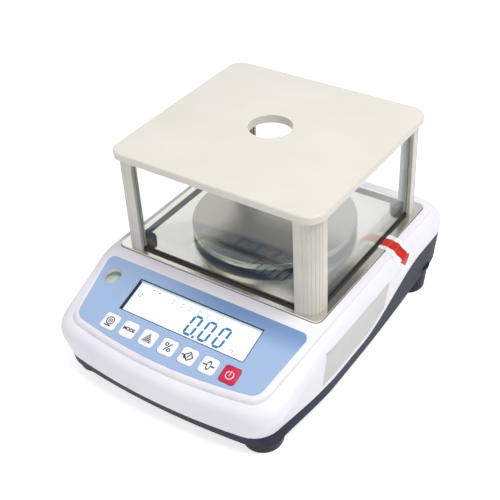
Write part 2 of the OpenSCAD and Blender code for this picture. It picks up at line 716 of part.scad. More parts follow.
module weighing_pan() {
  r = pan_d / 2;
  boss_r = stud_d / 2 + 5;
  boss_z = pan_gap / 4;
  color("Silver") at_shield(0) difference() {
    union() {
      difference() {
        translate([0, 0, pan_top - pan_rim]) cylinder(r = r, h = pan_rim - 0.8);
        translate([0, 0, pan_top - pan_rim - over]) cylinder(r = r - pan_t, h = pan_rim - pan_t + over);
      }
      translate([0, 0, pan_top - pan_t]) cylinder(r = r - 0.8, h = pan_t);
      translate([0, 0, pan_top - 0.8]) rotate_extrude() translate([r - 0.8, 0]) circle(0.8);
      translate([0, 0, plate_z + boss_z]) cylinder(r = boss_r, h = pan_top - pan_t / 2 - plate_z - boss_z);
    }
    translate([0, 0, plate_z]) cylinder(d = stud_d + 2 * run_gap, h = stud_top + seat_gap - plate_z);
  }
}

// Operating panel

key_r = 2.4;
key_proud = 0.3;
key_stem = 1.5;
key_names = ["key_print", "key_mode", "key_count", "key_percent", "key_tare", "key_zero", "key_power"];
module key_place(i, w) {
  on_panel(keys_x + (i - 3) * key_pitch, keys_v, w) children();
}
overlay_top = crease_y - 7;
overlay_corner = 5;
// Its border is narrower along the front, by this much, and widens to its full width over this distance
border_less = 2;
border_run = 27;
function overlay_line() =
  let (line = plateau_line(overlay_border))
  [for (p = line) if (p[1] < overlay_top - overlay_corner)
    [p[0], p[1] - border_less * min(1, max(0, 1 - (p[1] - plateau_front) / border_run))]];
module overlay_shape() {
  half = overlay_line();
  last = half[len(half) - 1];
  edge_x = last[0] + (overlay_top - overlay_corner - last[1]) * tan(plateau_taper);
  corner = [for (a = [0 : 15 : 90])
    [edge_x - overlay_corner + overlay_corner * cos(a), overlay_top - overlay_corner + overlay_corner * sin(a)]];
  right = concat(half, corner);
  polygon(concat(right, [for (i = [len(right) - 1 : -1 : 1]) [-right[i][0], right[i][1]]]));
}
module keypad_overlay() {
  color("#9DB6DC") difference() {
    intersection() {
      linear_extrude(2 * deck_z) overlay_shape();
      on_panel(0, 0) translate([-half_w, -body_d, 0]) cube([body_w, 2 * body_d, overlay_t]);
    }
    on_panel(window_x, window_v, -over) linear_extrude(4 * over)
      square([window_w, window_h], center = true);
    for (i = [0 : 6]) key_place(i, -over)
      slab(key_s + 2 * part_gap, key_s + 2 * part_gap, 4 * over, key_r + part_gap);
    level_hole();
  }
}
module key(i) {
  tint = i == 6 ? "#E0385F" : "#F7F8FC";
  color(tint) key_place(i, -key_stem) {
    slab(key_s, key_s, key_stem + overlay_t + key_proud - 0.2, key_r);
    translate([0, 0, key_stem]) slab(key_s - 0.4, key_s - 0.4, overlay_t + key_proud, key_r - 0.2);
  }
}
dome_top = key_stem + key_travel + run_gap;
dome_d = 8;
dome_h = 1.25;
key_board_top = dome_top + dome_h;
module key_domes() {
  color("Silver") for (i = [0 : 6]) key_place(i, -key_board_top) {
    cylinder(d = dome_d, h = dome_h / 2);
    cylinder(d = 0.6 * dome_d, h = dome_h);
  }
}
// Board under the keys, held by two pegs that hang from the panel and are melted over
peg_d = 2.3;
module peg_place(w) {
  for (i = [-0.5, 6.5]) key_place(i, w) children();
}
module key_board() {
  color("DarkGreen") difference() {
    on_panel(keys_x, keys_v, -key_board_top - board_t)
      slab(7 * key_pitch + 2 * peg_d + 1.4, key_s + 2 * part_gap, board_t, 1);
    peg_place(-key_board_top - board_t - over) cylinder(d = peg_d + 2 * run_gap, h = board_t + 2 * over);
  }
  color("GhostWhite") peg_place(-key_board_top - board_t)
    cylinder(d = peg_d, h = key_board_top + board_t - wall);
}
lcd_t = 2.8;
frame_t = 6.5;
display_depth = wall + frame_t + 0.2;
display_screw_d = 1.9;
module lcd_glass() {
  color("#E8F6FC") on_panel(window_x, window_v, -wall - lcd_t)
    slab(window_w + 2 * lcd_edge, window_h + 2 * lcd_edge_v, lcd_t, 0.5);
}
module lcd_frame() {
  color("#1A1D26") on_panel(window_x, window_v, -wall - frame_t) difference() {
    slab(window_w + 2 * (lcd_edge + frame_rim), window_h + 2 * (lcd_edge_v + frame_rim), frame_t, 1);
    translate([0, 0, frame_t - lcd_t])
      slab(window_w + 2 * lcd_edge + 0.2, window_h + 2 * lcd_edge_v + 0.2, lcd_t + over, 0.6);
  }
}
// Dark gasket that lines the window, from the glass up to the overlay's face
module display_gasket() {
  gasket_t = 0.6;
  gasket_w = window_w - 0.1;
  gasket_h = window_h - 0.1;
  color("#101826") on_panel(window_x, window_v, -wall) linear_extrude(wall + overlay_t - 0.1) difference() {
    square([gasket_w, gasket_h], center = true);
    square([gasket_w - 2 * gasket_t, gasket_h - 2 * gasket_t], center = true);
  }
}
module display_board() {
  color("DarkGreen") on_panel(window_x, window_v, -display_depth - board_t) difference() {
    slab(window_w + 2 * (display_boss_out + 3.5), window_h + 9, board_t, 2);
    for (p = display_boss_at) translate([p[0] - window_x, p[1] - window_v, -over])
      cylinder(d = display_screw_d + 2 * part_gap, h = board_t + 2 * over);
  }
}
module display_screws() {
  color("Silver") for (p = display_boss_at) on_panel(p[0], p[1], -display_depth - board_t)
    screw(display_screw_d, board_t + 4.4, 2.3 * display_screw_d, 0.8 * display_screw_d);
}

// Bubble level, which stands upright under the sloping panel

vial_h = 8;
vial_floor = 1.5;
vial_lid = 1;
cup_floor = 2;
vial_in_d = level_d - 2 * vial_floor;
vial_in_h = vial_h - vial_floor - vial_lid;
module level_cup() {
  color("#23252B") difference() {
    translate([level_x, level_y, level_top - vial_h - cup_floor])
      cylinder(d = level_d + 2 * cup_wall, h = cup_floor + vial_h + level_d);
    translate([level_x, level_y, level_top - vial_h]) cylinder(d = level_d + 2 * run_gap, h = deck_z);
    on_panel(0, 0, -wall) translate([-half_w, -body_d, 0]) cube([body_w, 2 * body_d, deck_z]);
  }
}
module level_vial() {
  color("#DDE8D8") translate([level_x, level_y, level_top - vial_h]) difference() {
    cylinder(d = level_d, h = vial_h);
    translate([0, 0, vial_floor]) cylinder(d = vial_in_d, h = vial_in_h);
  }
}
// The liquid, with its bubble against the glass above it
module level_liquid() {
  bubble_d = level_d / 3;
  bubble_h = 0.9;
  color("#B9D66B") translate([level_x, level_y, level_top - vial_h + vial_floor]) difference() {
    cylinder(d = vial_in_d, h = vial_in_h);
    translate([0.6, -0.4, vial_in_h - bubble_h]) cylinder(d = bubble_d, h = 2 * bubble_h);
  }
}

// Draft shield

// Section of a corner post: an L whose outer corner is round and fluted, with a slot for each pane
module post_section() {
  slot = glass_t + 2 * fit_gap;
  slot_end = post_arm - glass_grip - 0.3;
  difference() {
    union() {
      translate([-post_arm, -post_arm]) square([post_arm - post_r, post_arm]);
      translate([-post_arm, -post_arm]) square([post_arm, post_arm - post_r]);
      intersection() {
        translate([-post_r, -post_r]) circle(post_r);
        translate([-post_r - 1, -post_r - 1]) square(post_r + 1);
      }
    }
    translate([-post_arm - over, -post_arm - over]) square(post_arm - post_t + over);
    translate([-post_arm - over, -glass_inset - slot / 2]) square([post_arm - slot_end + over, slot]);
    translate([-glass_inset - slot / 2, -post_arm - over]) square([slot, post_arm - slot_end + over]);
    translate([-post_r, -post_r]) for (i = [0 : flutes - 1])
      rotate(90 * (i + 0.5) / flutes) translate([post_r + 0.35, 0]) circle(0.85);
  }
}
module post(x, y) {
  color("#DCD9CE") at_shield()
    mirror([x < 0 ? 1 : 0, 0, 0]) mirror([0, y < 0 ? 1 : 0, 0])
      translate([shield_w / 2, shield_d / 2, 0]) linear_extrude(post_h) post_section();
}
pane_z = plate_z + seal_h;
pane_h = post_h - seal_h - 0.4;
module pane_x(y) {
  color("LightCyan", 0.35) translate([0, shield_y + y * (shield_d / 2 - glass_inset), pane_z])
    translate([0, 0, pane_h / 2])
      cube([shield_w - 2 * (post_arm - glass_grip), glass_t, pane_h], center = true);
}
module pane_y(x) {
  color("LightCyan", 0.35) translate([x * (shield_w / 2 - glass_inset), shield_y, pane_z])
    translate([0, 0, pane_h / 2])
      cube([glass_t, shield_d - 2 * (post_arm - glass_grip), pane_h], center = true);
}
module glass_seals() {
  color("#101012") at_shield(plate_z + seal_h / 2) {
    for (y = [-1, 1]) translate([0, y * (shield_d / 2 - glass_inset), 0])
      cube([shield_w - 2 * post_arm - 0.2, seal_w, seal_h], center = true);
    for (x = [-1, 1]) translate([x * (shield_w / 2 - glass_inset), 0, 0])
      cube([seal_w, shield_d - 2 * post_arm - 0.2, seal_h], center = true);
  }
}
// Half of a rounded rectangle, drawn in by a distance
function rect_line(w, d, r, in) = concat(
  [for (a = [-90 : 11.25 : 0]) [w / 2 - r + (r - in) * cos(a), r - d / 2 + (r - in) * sin(a)]],
  [for (a = [0 : 11.25 : 90]) [w / 2 - r + (r - in) * cos(a), d / 2 - r + (r - in) * sin(a)]]);
function lid_ring(in, z) = ring([for (p = rect_line(lid_w, lid_d, lid_r, in)) [p[0], p[1], z]]);

// Lid: a plate with a rounded top edge, and four lips that drop inside the panes
module shield_lid() {
  lip_in = glass_inset + glass_t / 2 + 0.6;
  lip_t = 2;
  lip_h = 3;
  lip_end = post_arm + 5;
  under_edge = 0.5;
  edge_z = lid_t - lid_edge;
  color("#E9E4D8") difference() {
    at_shield(post_top) {
      loft(concat(
        [lid_ring(under_edge, 0), lid_ring(0, under_edge)],
        [for (a = [0 : 22.5 : 90]) lid_ring(lid_edge * (1 - cos(a)), edge_z + lid_edge * sin(a))]));
      for (y = [-1, 1]) translate([0, y * (shield_d / 2 - lip_in - lip_t / 2), -lip_h / 2])
        cube([shield_w - 2 * lip_end, lip_t, lip_h + 0.2], center = true);
      for (x = [-1, 1]) translate([x * (shield_w / 2 - lip_in - lip_t / 2), 0, -lip_h / 2])
        cube([lip_t, shield_d - 2 * lip_end, lip_h + 0.2], center = true);
    }
    at_shield(post_top) translate([lid_hole_at[0], lid_hole_at[1], -over])
      cylinder(d = lid_hole_d, h = lid_t + 2 * over);
  }
}

top_housing();
base_housing();
housing_screws();
foot_disc(0);  // foot_disc_fl
foot_disc(1);  // foot_disc_fr
foot_disc(2);  // foot_disc_rl
foot_disc(3);  // foot_disc_rr
foot_stud(0);  // foot_stud_fl
foot_stud(1);  // foot_stud_fr
foot_stud(2);  // foot_stud_rl
foot_stud(3);  // foot_stud_rr
foot_inserts();
chassis_plate();
chassis_screws();
cell_spacer();
load_cell();
cell_screws();
carrier_arm();
carrier_stud();
overload_stops();
main_board();
board_standoffs();
dc_inlet();
serial_port();
tray_plate();
plate_knobs();
weighing_pan();
keypad_overlay();
key(0);  // key_print
key(1);  // key_mode
key(2);  // key_count
key(3);  // key_percent
key(4);  // key_tare
key(5);  // key_zero
key(6);  // key_power
key_board();
key_domes();
lcd_glass();
lcd_frame();
display_gasket();
display_board();
display_screws();
level_cup();
level_vial();
level_liquid();
post(-1, -1);  // post_fl
post(1, -1);  // post_fr
post(-1, 1);  // post_rl
post(1, 1);  // post_rr
pane_x(-1);  // glass_front
pane_x(1);  // glass_rear
pane_y(-1);  // glass_left
pane_y(1);  // glass_right
glass_seals();
shield_lid();
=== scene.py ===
# A precision balance with a glass draft shield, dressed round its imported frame.
# The sections follow the balance as it is put together, from the feet up to the lid.
import math

import bpy
from mathutils import Matrix, Vector


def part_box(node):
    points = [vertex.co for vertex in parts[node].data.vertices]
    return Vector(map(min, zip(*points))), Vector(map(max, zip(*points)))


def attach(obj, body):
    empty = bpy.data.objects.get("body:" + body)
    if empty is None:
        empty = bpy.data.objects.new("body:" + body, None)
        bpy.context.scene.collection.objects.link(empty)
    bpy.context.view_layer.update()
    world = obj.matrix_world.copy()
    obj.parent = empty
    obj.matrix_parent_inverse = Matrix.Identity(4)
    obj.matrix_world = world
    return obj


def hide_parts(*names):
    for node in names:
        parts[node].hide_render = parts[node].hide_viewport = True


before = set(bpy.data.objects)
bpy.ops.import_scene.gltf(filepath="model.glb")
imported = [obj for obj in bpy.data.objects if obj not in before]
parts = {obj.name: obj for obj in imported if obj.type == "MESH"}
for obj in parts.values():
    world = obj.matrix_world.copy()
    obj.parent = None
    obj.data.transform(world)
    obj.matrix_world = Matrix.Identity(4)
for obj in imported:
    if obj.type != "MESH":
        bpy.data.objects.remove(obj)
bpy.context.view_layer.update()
mm = 0.001

# Camera: it stands in front of the balance and to its right, and looks down on the pan.
# It leans a little, as a camera held by hand does, and its middle is just off the picture's.
eye = Vector((327.7, -452.7, 489.2)) * mm
turn, height, lean = (math.radians(angle) for angle in (35.78, 36.46, -3.17))
picture_px, lens_px = 500.0, 959.0
middle_px = (253.2, 237.0)
back = Vector((math.sin(turn) * math.cos(height), -math.cos(turn) * math.cos(height), math.sin(height)))
level_right = Vector((0, 0, 1)).cross(back).normalized()
level_up = back.cross(level_right)
right = level_right * math.cos(lean) + level_up * math.sin(lean)
up = level_up * math.cos(lean) - level_right * math.sin(lean)
bpy.ops.object.camera_add()
camera = bpy.context.object
camera.matrix_world = Matrix.Translation(eye) @ Matrix((right, up, back)).transposed().to_4x4()
camera.data.sensor_width = 36.0
camera.data.lens = lens_px / picture_px * camera.data.sensor_width
camera.data.shift_x = (picture_px / 2 - middle_px[0]) / picture_px
camera.data.shift_y = (middle_px[1] - picture_px / 2) / picture_px
camera.data.clip_start = 0.01
camera.data.clip_end = 50.0
bpy.context.scene.camera = camera
bpy.context.scene.view_settings.view_transform = "Standard"


# Studio: a pale floor and a white surround, lit by a wide soft lamp from above on the right,
# so that the front is in half shade. The surround is white to the eye and in gloss and glass only,
# with a bright backdrop behind the left, and the floor is whiter to the eye the farther off it is.
def srgb(code):
    """Turns a colour written as #RRGGBB into the linear values that a shader takes."""
    values = [int(code[start : start + 2], 16) / 255 for start in (1, 3, 5)]
    linear = [v / 12.92 if v <= 0.04045 else ((v + 0.055) / 1.055) ** 2.4 for v in values]
    return (*linear, 1.0)


def add_node(tree, kind, values=None, links=None, **settings):
    """Adds a node, sets its settings and its sockets' values, and links sockets to it."""
    made = tree.nodes.new(kind)
    for name, value in settings.items():
        setattr(made, name, value)
    for name, value in (values or {}).items():
        made.inputs[name].default_value = value
    for name, socket in (links or {}).items():
        tree.links.new(socket, made.inputs[name])
    return made


def seen_in_gloss(tree):
    """A value that is 1 where the eye looks by way of gloss or glass alone, and 0 in gathered light."""
    path = add_node(tree, "ShaderNodeLightPath")
    either = add_node(tree, "ShaderNodeMath", operation="MAXIMUM", links={
        0: path.outputs["Is Glossy Ray"], 1: path.outputs["Is Transmission Ray"]})
    return add_node(tree, "ShaderNodeMath", operation="SUBTRACT", use_clamp=True, links={
        0: either.outputs[0], 1: path.outputs["Diffuse Depth"]}).outputs[0]


def seen_by_eye(tree):
    """A value that is 1 where the camera looks straight at a thing."""
    return add_node(tree, "ShaderNodeLightPath").outputs["Is Camera Ray"]


world = bpy.data.worlds.new("studio_surround")
bpy.context.scene.world = world
world.use_nodes = True
world.node_tree.nodes.clear()
fill_light, dim_in_gloss = 0.31, 0.40
backdrop_side, backdrop_start, backdrop_full = (-0.90, 0.44, 0.0), 0.55, 0.74
gathered = add_node(world.node_tree, "ShaderNodeBackground", {
    "Color": srgb("#F6F7FF"), "Strength": fill_light})
direction = add_node(world.node_tree, "ShaderNodeTexCoord").outputs["Generated"]
towards = add_node(world.node_tree, "ShaderNodeVectorMath", {1: backdrop_side}, {
    0: direction}, operation="DOT_PRODUCT")
change = add_node(world.node_tree, "ShaderNodeMapRange", {
    "From Min": backdrop_start, "From Max": backdrop_full, "To Min": dim_in_gloss - 1, "To Max": 0.0}, {
    "Value": towards.outputs["Value"]}, interpolation_type="SMOOTHSTEP")
mirrored = add_node(world.node_tree, "ShaderNodeMath", {1: 1.0}, {
    0: add_node(world.node_tree, "ShaderNodeLightPath").outputs["Glossy Depth"]}, operation="MINIMUM")
shown_strength = add_node(world.node_tree, "ShaderNodeMath", {2: 1.0}, {
    0: mirrored.outputs[0], 1: change.outputs[0]}, operation="MULTIPLY_ADD")
shown = add_node(world.node_tree, "ShaderNodeBackground", {"Color": srgb("#FFFFFF")}, {
    "Strength": shown_strength.outputs[0]})
seen = add_node(world.node_tree, "ShaderNodeMath", operation="MAXIMUM", links={
    0: seen_in_gloss(world.node_tree), 1: seen_by_eye(world.node_tree)})
surround = add_node(world.node_tree, "ShaderNodeMixShader", links={
    0: seen.outputs[0], 1: gathered.outputs[0], 2: shown.outputs[0]})
add_node(world.node_tree, "ShaderNodeOutputWorld", links={"Surface": surround.outputs[0]})

floor_size = 8.0
floor_fill, floor_in_gloss = 0.10, 0.45
floor_near, floor_far = 0.56, 0.85
sweep_start, sweep_full = 0.45, 1.60
bpy.ops.mesh.primitive_plane_add(size=floor_size)
floor = bpy.context.object
floor.name = "studio_floor"
floor_paint = bpy.data.materials.new("matt_white_floor")
floor_paint.use_nodes = True
floor_paint.node_tree.nodes.clear()
floor_matt = add_node(floor_paint.node_tree, "ShaderNodeBsdfDiffuse", {"Color": srgb("#F2F2F2")})
distance = add_node(floor_paint.node_tree, "ShaderNodeVectorMath", links={
    0: add_node(floor_paint.node_tree, "ShaderNodeTexCoord").outputs["Object"]}, operation="LENGTH")
floor_sweep = add_node(floor_paint.node_tree, "ShaderNodeMapRange", {
    "From Min": sweep_start, "From Max": sweep_full, "To Min": floor_near, "To Max": floor_far}, {
    "Value": distance.outputs["Value"]}, interpolation_type="SMOOTHSTEP")
floor_shown = add_node(floor_paint.node_tree, "ShaderNodeMath", {2: floor_fill}, {
    0: seen_by_eye(floor_paint.node_tree), 1: floor_sweep.outputs[0]}, operation="MULTIPLY_ADD")
floor_strength = add_node(floor_paint.node_tree, "ShaderNodeMath", {1: floor_in_gloss}, {
    0: seen_in_gloss(floor_paint.node_tree), 2: floor_shown.outputs[0]}, operation="MULTIPLY_ADD")
floor_glow = add_node(floor_paint.node_tree, "ShaderNodeEmission", {"Color": srgb("#FFFFFF")}, {
    "Strength": floor_strength.outputs[0]})
floor_sum = add_node(floor_paint.node_tree, "ShaderNodeAddShader", links={
    0: floor_matt.outputs[0], 1: floor_glow.outputs[0]})
add_node(floor_paint.node_tree, "ShaderNodeOutputMaterial", links={"Surface": floor_sum.outputs[0]})
floor.data.materials.append(floor_paint)

lamp_aim = Vector((0, 0, 0.06))
for name, place, size, power in (
    ("lamp_right", (0.62, 0.05, 1.50), 0.9, 19.5),
    ("lamp_front", (-0.42, -1.25, 1.10), 1.1, 4.4),
):
    bpy.ops.object.light_add(type="AREA", location=place)
    lamp = bpy.context.object
    lamp.name = name
    lamp.data.size = size
    lamp.data.energy = power
    lamp.rotation_euler = (lamp_aim - Vector(place)).to_track_quat("-Z", "Y").to_euler()


# Feet: four smooth discs of dark blue nylon, each moulded round a zinc-plated stud.
# The studs turn in brass inserts. The discs narrow a little towards the table.
def start_material(name, colour, roughness, metallic=0.0, **values):
    """Starts a material: returns it, its node tree, its shader and the places on the object."""
    made = bpy.data.materials.new(name)
    made.use_nodes = True
    tree = made.node_tree
    shader = tree.nodes["Principled BSDF"]
    shader.inputs["Base Color"].default_value = srgb(colour)
    shader.inputs["Roughness"].default_value = roughness
    shader.inputs["Metallic"].default_value = metallic
    for socket, value in values.items():
        shader.inputs[socket.replace("_", " ")].default_value = value
    place = add_node(tree, "ShaderNodeTexCoord").outputs["Object"]
    return made, tree, shader, place


def grain(tree, shader, place, size, depth, stretch=(1, 1, 1)):
    """Gives a surface a fine grain: bumps of about this size and depth, in metres."""
    spread = add_node(tree, "ShaderNodeMapping", {"Scale": stretch}, {"Vector": place})
    noise = add_node(tree, "ShaderNodeTexNoise", {"Scale": 1 / size, "Detail": 2.0}, {
        "Vector": spread.outputs[0]})
    bump = add_node(tree, "ShaderNodeBump", {"Strength": 1.0, "Distance": depth}, {
        "Height": noise.outputs["Fac"]})
    tree.links.new(bump.outputs[0], shader.inputs["Normal"])


def shade_between(tree, shader, place, size, first, second, socket="Base Color"):
    """Lets a colour or a roughness wander between two values over this size, in metres."""
    noise = add_node(tree, "ShaderNodeTexNoise", {"Scale": 1 / size, "Detail": 3.0}, {"Vector": place})
    ramp = add_node(tree, "ShaderNodeValToRGB", links={"Fac": noise.outputs["Fac"]})
    for element, position, value in zip(ramp.color_ramp.elements, (0.35, 0.65), (first, second)):
        element.position = position
        element.color = srgb(value) if isinstance(value, str) else (value, value, value, 1)
    tree.links.new(ramp.outputs["Color"], shader.inputs[socket])


def paint(material, *nodes):
    """Puts a material on CAD nodes as they are."""
    for node in nodes:
        for slot in parts[node].material_slots:
            slot.material = material


merge_reach, flat_angle = 0.002 * mm, math.radians(0.5)


def merge_doubles(flatten=False):
    """Merges the points of the active object that lie on each other, and its flush faces if asked."""
    bpy.ops.object.mode_set(mode="EDIT")
    bpy.ops.mesh.select_all(action="SELECT")
    bpy.ops.mesh.remove_doubles(threshold=merge_reach)
    if flatten:
        bpy.ops.mesh.dissolve_limited(angle_limit=flat_angle)
    bpy.ops.object.mode_set(mode="OBJECT")


def skin(node, body, material, angle=30.0, edge=0.0, flatten=False):
    """Stands in for a CAD node with its own form: faces joined, shaded smooth, edges broken if asked."""
    made = parts[node].copy()
    made.data = parts[node].data.copy()
    made.name = node + "_skin"
    made.parent = None
    made.matrix_world = Matrix.Identity(4)
    bpy.context.collection.objects.link(made)
    bpy.ops.object.select_all(action="DESELECT")
    made.select_set(True)
    bpy.context.view_layer.objects.active = made
    merge_doubles(flatten)
    if made.data.has_custom_normals:
        bpy.ops.mesh.customdata_custom_splitnormals_clear()
    if edge:
        rounding = made.modifiers.new("broken_edges", "BEVEL")
        rounding.width = edge
        rounding.segments = 2
        rounding.limit_method = "ANGLE"
        rounding.angle_limit = math.radians(angle)
        bpy.ops.object.modifier_apply(modifier=rounding.name)
    bpy.ops.object.shade_smooth_by_angle(angle=math.radians(angle))
    made.data.materials.clear()
    made.data.materials.append(material)
    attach(made, body)
    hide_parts(node)
    return made


corners = ("fl", "fr", "rl", "rr")
foot_plastic, tree, shader, place = start_material(
    "moulded_nylon_blue", "#0E0C20", 0.52, Specular_IOR_Level=0.25)
grain(tree, shader, place, 0.7 * mm, 0.03 * mm)
shade_between(tree, shader, place, 9 * mm, "#0C0A1C", "#131128")
zinc, tree, shader, place = start_material("zinc_plated_steel", "#C9CBCF", 0.28, 1.0)
grain(tree, shader, place, 0.5 * mm, 0.01 * mm)
shade_between(tree, shader, place, 5 * mm, 0.24, 0.36, "Roughness")
thread_pitch, thread_depth = 1.25 * mm, 0.5 * mm
threaded, tree, shader, place = start_material("rolled_thread_steel", "#BFC1C6", 0.30, 1.0)
along = add_node(tree, "ShaderNodeSeparateXYZ", links={"Vector": place})
turns = add_node(tree, "ShaderNodeMath", {1: thread_pitch}, {0: along.outputs["Z"]}, operation="PINGPONG")
flank = add_node(tree, "ShaderNodeBump", {"Strength": 1.0, "Distance": thread_depth}, {
    "Height": add_node(tree, "ShaderNodeMath", {1: 1 / thread_pitch}, {
        0: turns.outputs[0]}, operation="MULTIPLY").outputs[0]})
tree.links.new(flank.outputs[0], shader.inputs["Normal"])
brass, tree, shader, place = start_material("turned_brass", "#C9A45C", 0.30, 1.0)
grain(tree, shader, place, 0.3 * mm, 0.01 * mm, (1, 1, 8))
for corner in corners:
    skin("foot_disc_" + corner, "foot_disc_" + corner, foot_plastic, angle=40)
    paint(threaded, "foot_stud_" + corner)
paint(brass, "foot_inserts", "board_standoffs")

# Lower housing: one moulding in dark blue ABS with a fine spark texture, which scatters the light.
# Its top edge climbs in a long S towards the back.
base_plastic, tree, shader, place = start_material(
    "moulded_abs_dark_blue", "#1D2136", 0.58, Specular_IOR_Level=0.25)
grain(tree, shader, place, 0.9 * mm, 0.05 * mm)
shade_between(tree, shader, place, 14 * mm, "#1A1E32", "#21263C")
skin("base_housing", "base", base_plastic, angle=25)

# Load cell and chassis: a milled aluminium beam on a cast plate, with black screws at its ends.
# The carrier arm reaches back under the pan, and the stud stands on it.
milled, tree, shader, place = start_material("milled_aluminium", "#CFD1D3", 0.34, 1.0)
grain(tree, shader, place, 0.6 * mm, 0.02 * mm, (6, 1, 1))
cast, tree, shader, place = start_material("cast_aluminium", "#B4B6B8", 0.55, 1.0)
grain(tree, shader, place, 1.2 * mm, 0.08 * mm)
blackened, tree, shader, place = start_material("blackened_steel", "#2A2A2C", 0.40, 0.9)
grain(tree, shader, place, 0.5 * mm, 0.02 * mm)
paint(milled, "load_cell", "cell_spacer", "carrier_arm")
paint(cast, "chassis_plate")
paint(blackened, "cell_screws", "overload_stops")
paint(zinc, "chassis_screws", "housing_screws", "carrier_stud", "display_screws")

# Circuit boards: glass-filled laminate under green solder resist, which shows its copper as a paler net.
# Domes of sprung steel lie on the key board, one under each key.
resist_green, copper_green, copper_pitch, copper_share = "#0F4A2A", "#1B6A40", 3 * mm, 0.16
laminate, tree, shader, place = start_material("solder_resist_green", resist_green, 0.32)
cells = add_node(tree, "ShaderNodeTexVoronoi", {"Scale": 1 / copper_pitch}, {"Vector": place},
                 feature="DISTANCE_TO_EDGE", distance="CHEBYCHEV")
copper = add_node(tree, "ShaderNodeValToRGB", links={"Fac": cells.outputs["Distance"]})
copper.color_ramp.elements[0].color = srgb(copper_green)
copper.color_ramp.elements[1].position = copper_share
copper.color_ramp.elements[1].color = srgb(resist_green)
tree.links.new(copper.outputs["Color"], shader.inputs["Base Color"])
dome_steel, tree, shader, place = start_material("sprung_steel", "#D6D8DA", 0.20, 1.0)
grain(tree, shader, place, 0.4 * mm, 0.005 * mm)
paint(laminate, "main_board", "key_board", "display_board")
paint(dome_steel, "key_domes")

# Connectors: a black moulded inlet with a ring nut, and a serial connector in a zinc-plated steel shell.
# They sit in a bay at the back. The display's frame is moulded in the same black plastic.
inlet_plastic, tree, shader, place = start_material("moulded_pbt_black", "#1B1B1D", 0.38)
grain(tree, shader, place, 0.5 * mm, 0.02 * mm)
paint(inlet_plastic, "dc_inlet", "lcd_frame")
paint(zinc, "serial_port")

# Upper housing: one moulding in white ABS with a soft sheen. A groove runs round its plateau,
# and its shoulders have large radii.
white_plastic, tree, shader, place = start_material("moulded_abs_white", "#F4F1F7", 0.36)
grain(tree, shader, place, 0.9 * mm, 0.02 * mm)
shade_between(tree, shader, place, 40 * mm, "#F2EFF6", "#F6F4F9")
white_housing = skin("top_housing", "base", white_plastic, angle=25)

# Overlay: a printed polyester sheet, glued on the panel. Its blue deepens along the upper edge to the right.
# The place above the display is left plain.
panel_slope = math.radians(18)
panel_up = Vector((0, math.cos(panel_slope), math.sin(panel_slope)))
panel_out = Vector((0, -math.sin(panel_slope), math.cos(panel_slope)))


def panel_coordinates(tree, place):
    """Places on an object as X, distance up the panel's slope (Y), and height out of it (Z)."""
    turned = add_node(tree, "ShaderNodeMapping", {"Rotation": (-panel_slope, 0, 0)}, {"Vector": place})
    return add_node(tree, "ShaderNodeSeparateXYZ", links={"Vector": turned.outputs[0]}).outputs


def panel_reach(node, direction):
    """How far a node's points reach in a direction of the panel: its upper edge, or its outer face."""
    return max(vertex.co.dot(direction) for vertex in parts[node].data.vertices)


overlay_blue, overlay_deep = "#A8C1E4", "#7C9CC9"
overlay_film, tree, shader, place = start_material("printed_polyester_blue", overlay_blue, 0.30)
grain(tree, shader, place, 0.4 * mm, 0.01 * mm)
overlay_head = panel_reach("keypad_overlay", panel_up)
deepens_right = (-50 * mm, 30 * mm)
deepens_up = (overlay_head - 22 * mm, overlay_head - 3 * mm)
across = panel_coordinates(tree, place)
to_right = add_node(tree, "ShaderNodeMapRange", {
    "From Min": deepens_right[0], "From Max": deepens_right[1]}, {
    "Value": across["X"]}, interpolation_type="SMOOTHSTEP")
to_head = add_node(tree, "ShaderNodeMapRange", {
    "From Min": deepens_up[0], "From Max": deepens_up[1]}, {
    "Value": across["Y"]}, interpolation_type="SMOOTHSTEP")
deepening = add_node(tree, "ShaderNodeMath", links={0: to_right.outputs[0], 1: to_head.outputs[0]},
                     operation="MULTIPLY")
tint = add_node(tree, "ShaderNodeValToRGB", links={"Fac": deepening.outputs[0]})
tint.color_ramp.elements[0].color = srgb(overlay_blue)
tint.color_ramp.elements[1].color = srgb(overlay_deep)
tree.links.new(tint.outputs["Color"], shader.inputs["Base Color"])
paint(overlay_film, "keypad_overlay")

# Display: a liquid crystal glass with its lamp on, in a black frame, with a dark gasket round its window.
# The digits are segments of liquid crystal. They lean a little and show blue on the lit ground.
def panel_place(node, thickness):
    """Where the middle of a node's upper face lies, as a matrix with Z out of the panel."""
    low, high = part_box(node)
    middle = (low + high) / 2 + panel_out * thickness / 2
    return Matrix.Translation(middle) @ Matrix.Rotation(panel_slope, 4, "X")


def settle(made, name, matrix, body, material):
    """Gives a finished piece its name, place, material and body, with its place in its mesh."""
    made.name = name
    made.data.transform(matrix @ made.matrix_world)
    made.matrix_world = Matrix.Identity(4)
    made.data.materials.clear()
    made.data.materials.append(material)
    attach(made, body)


def join(pieces):
    """Makes one object of several."""
    bpy.ops.object.select_all(action="DESELECT")
    for piece in pieces:
        piece.select_set(True)
    bpy.context.view_layer.objects.active = pieces[0]
    bpy.ops.object.join()
    bpy.ops.object.transform_apply(location=True, rotation=True, scale=True)
    merge_doubles()
    return bpy.context.object


crystal_depth = 0.08 * mm


def bar(x, y, length, width, turn=0.0, depth=crystal_depth):
    """A flat bar of ink or crystal about a place on its ground, in metres."""
    bpy.ops.mesh.primitive_cube_add(size=1, location=(x, y, depth / 2), rotation=(0, 0, turn))
    made = bpy.context.object
    made.scale = (length, width, depth)
    return made


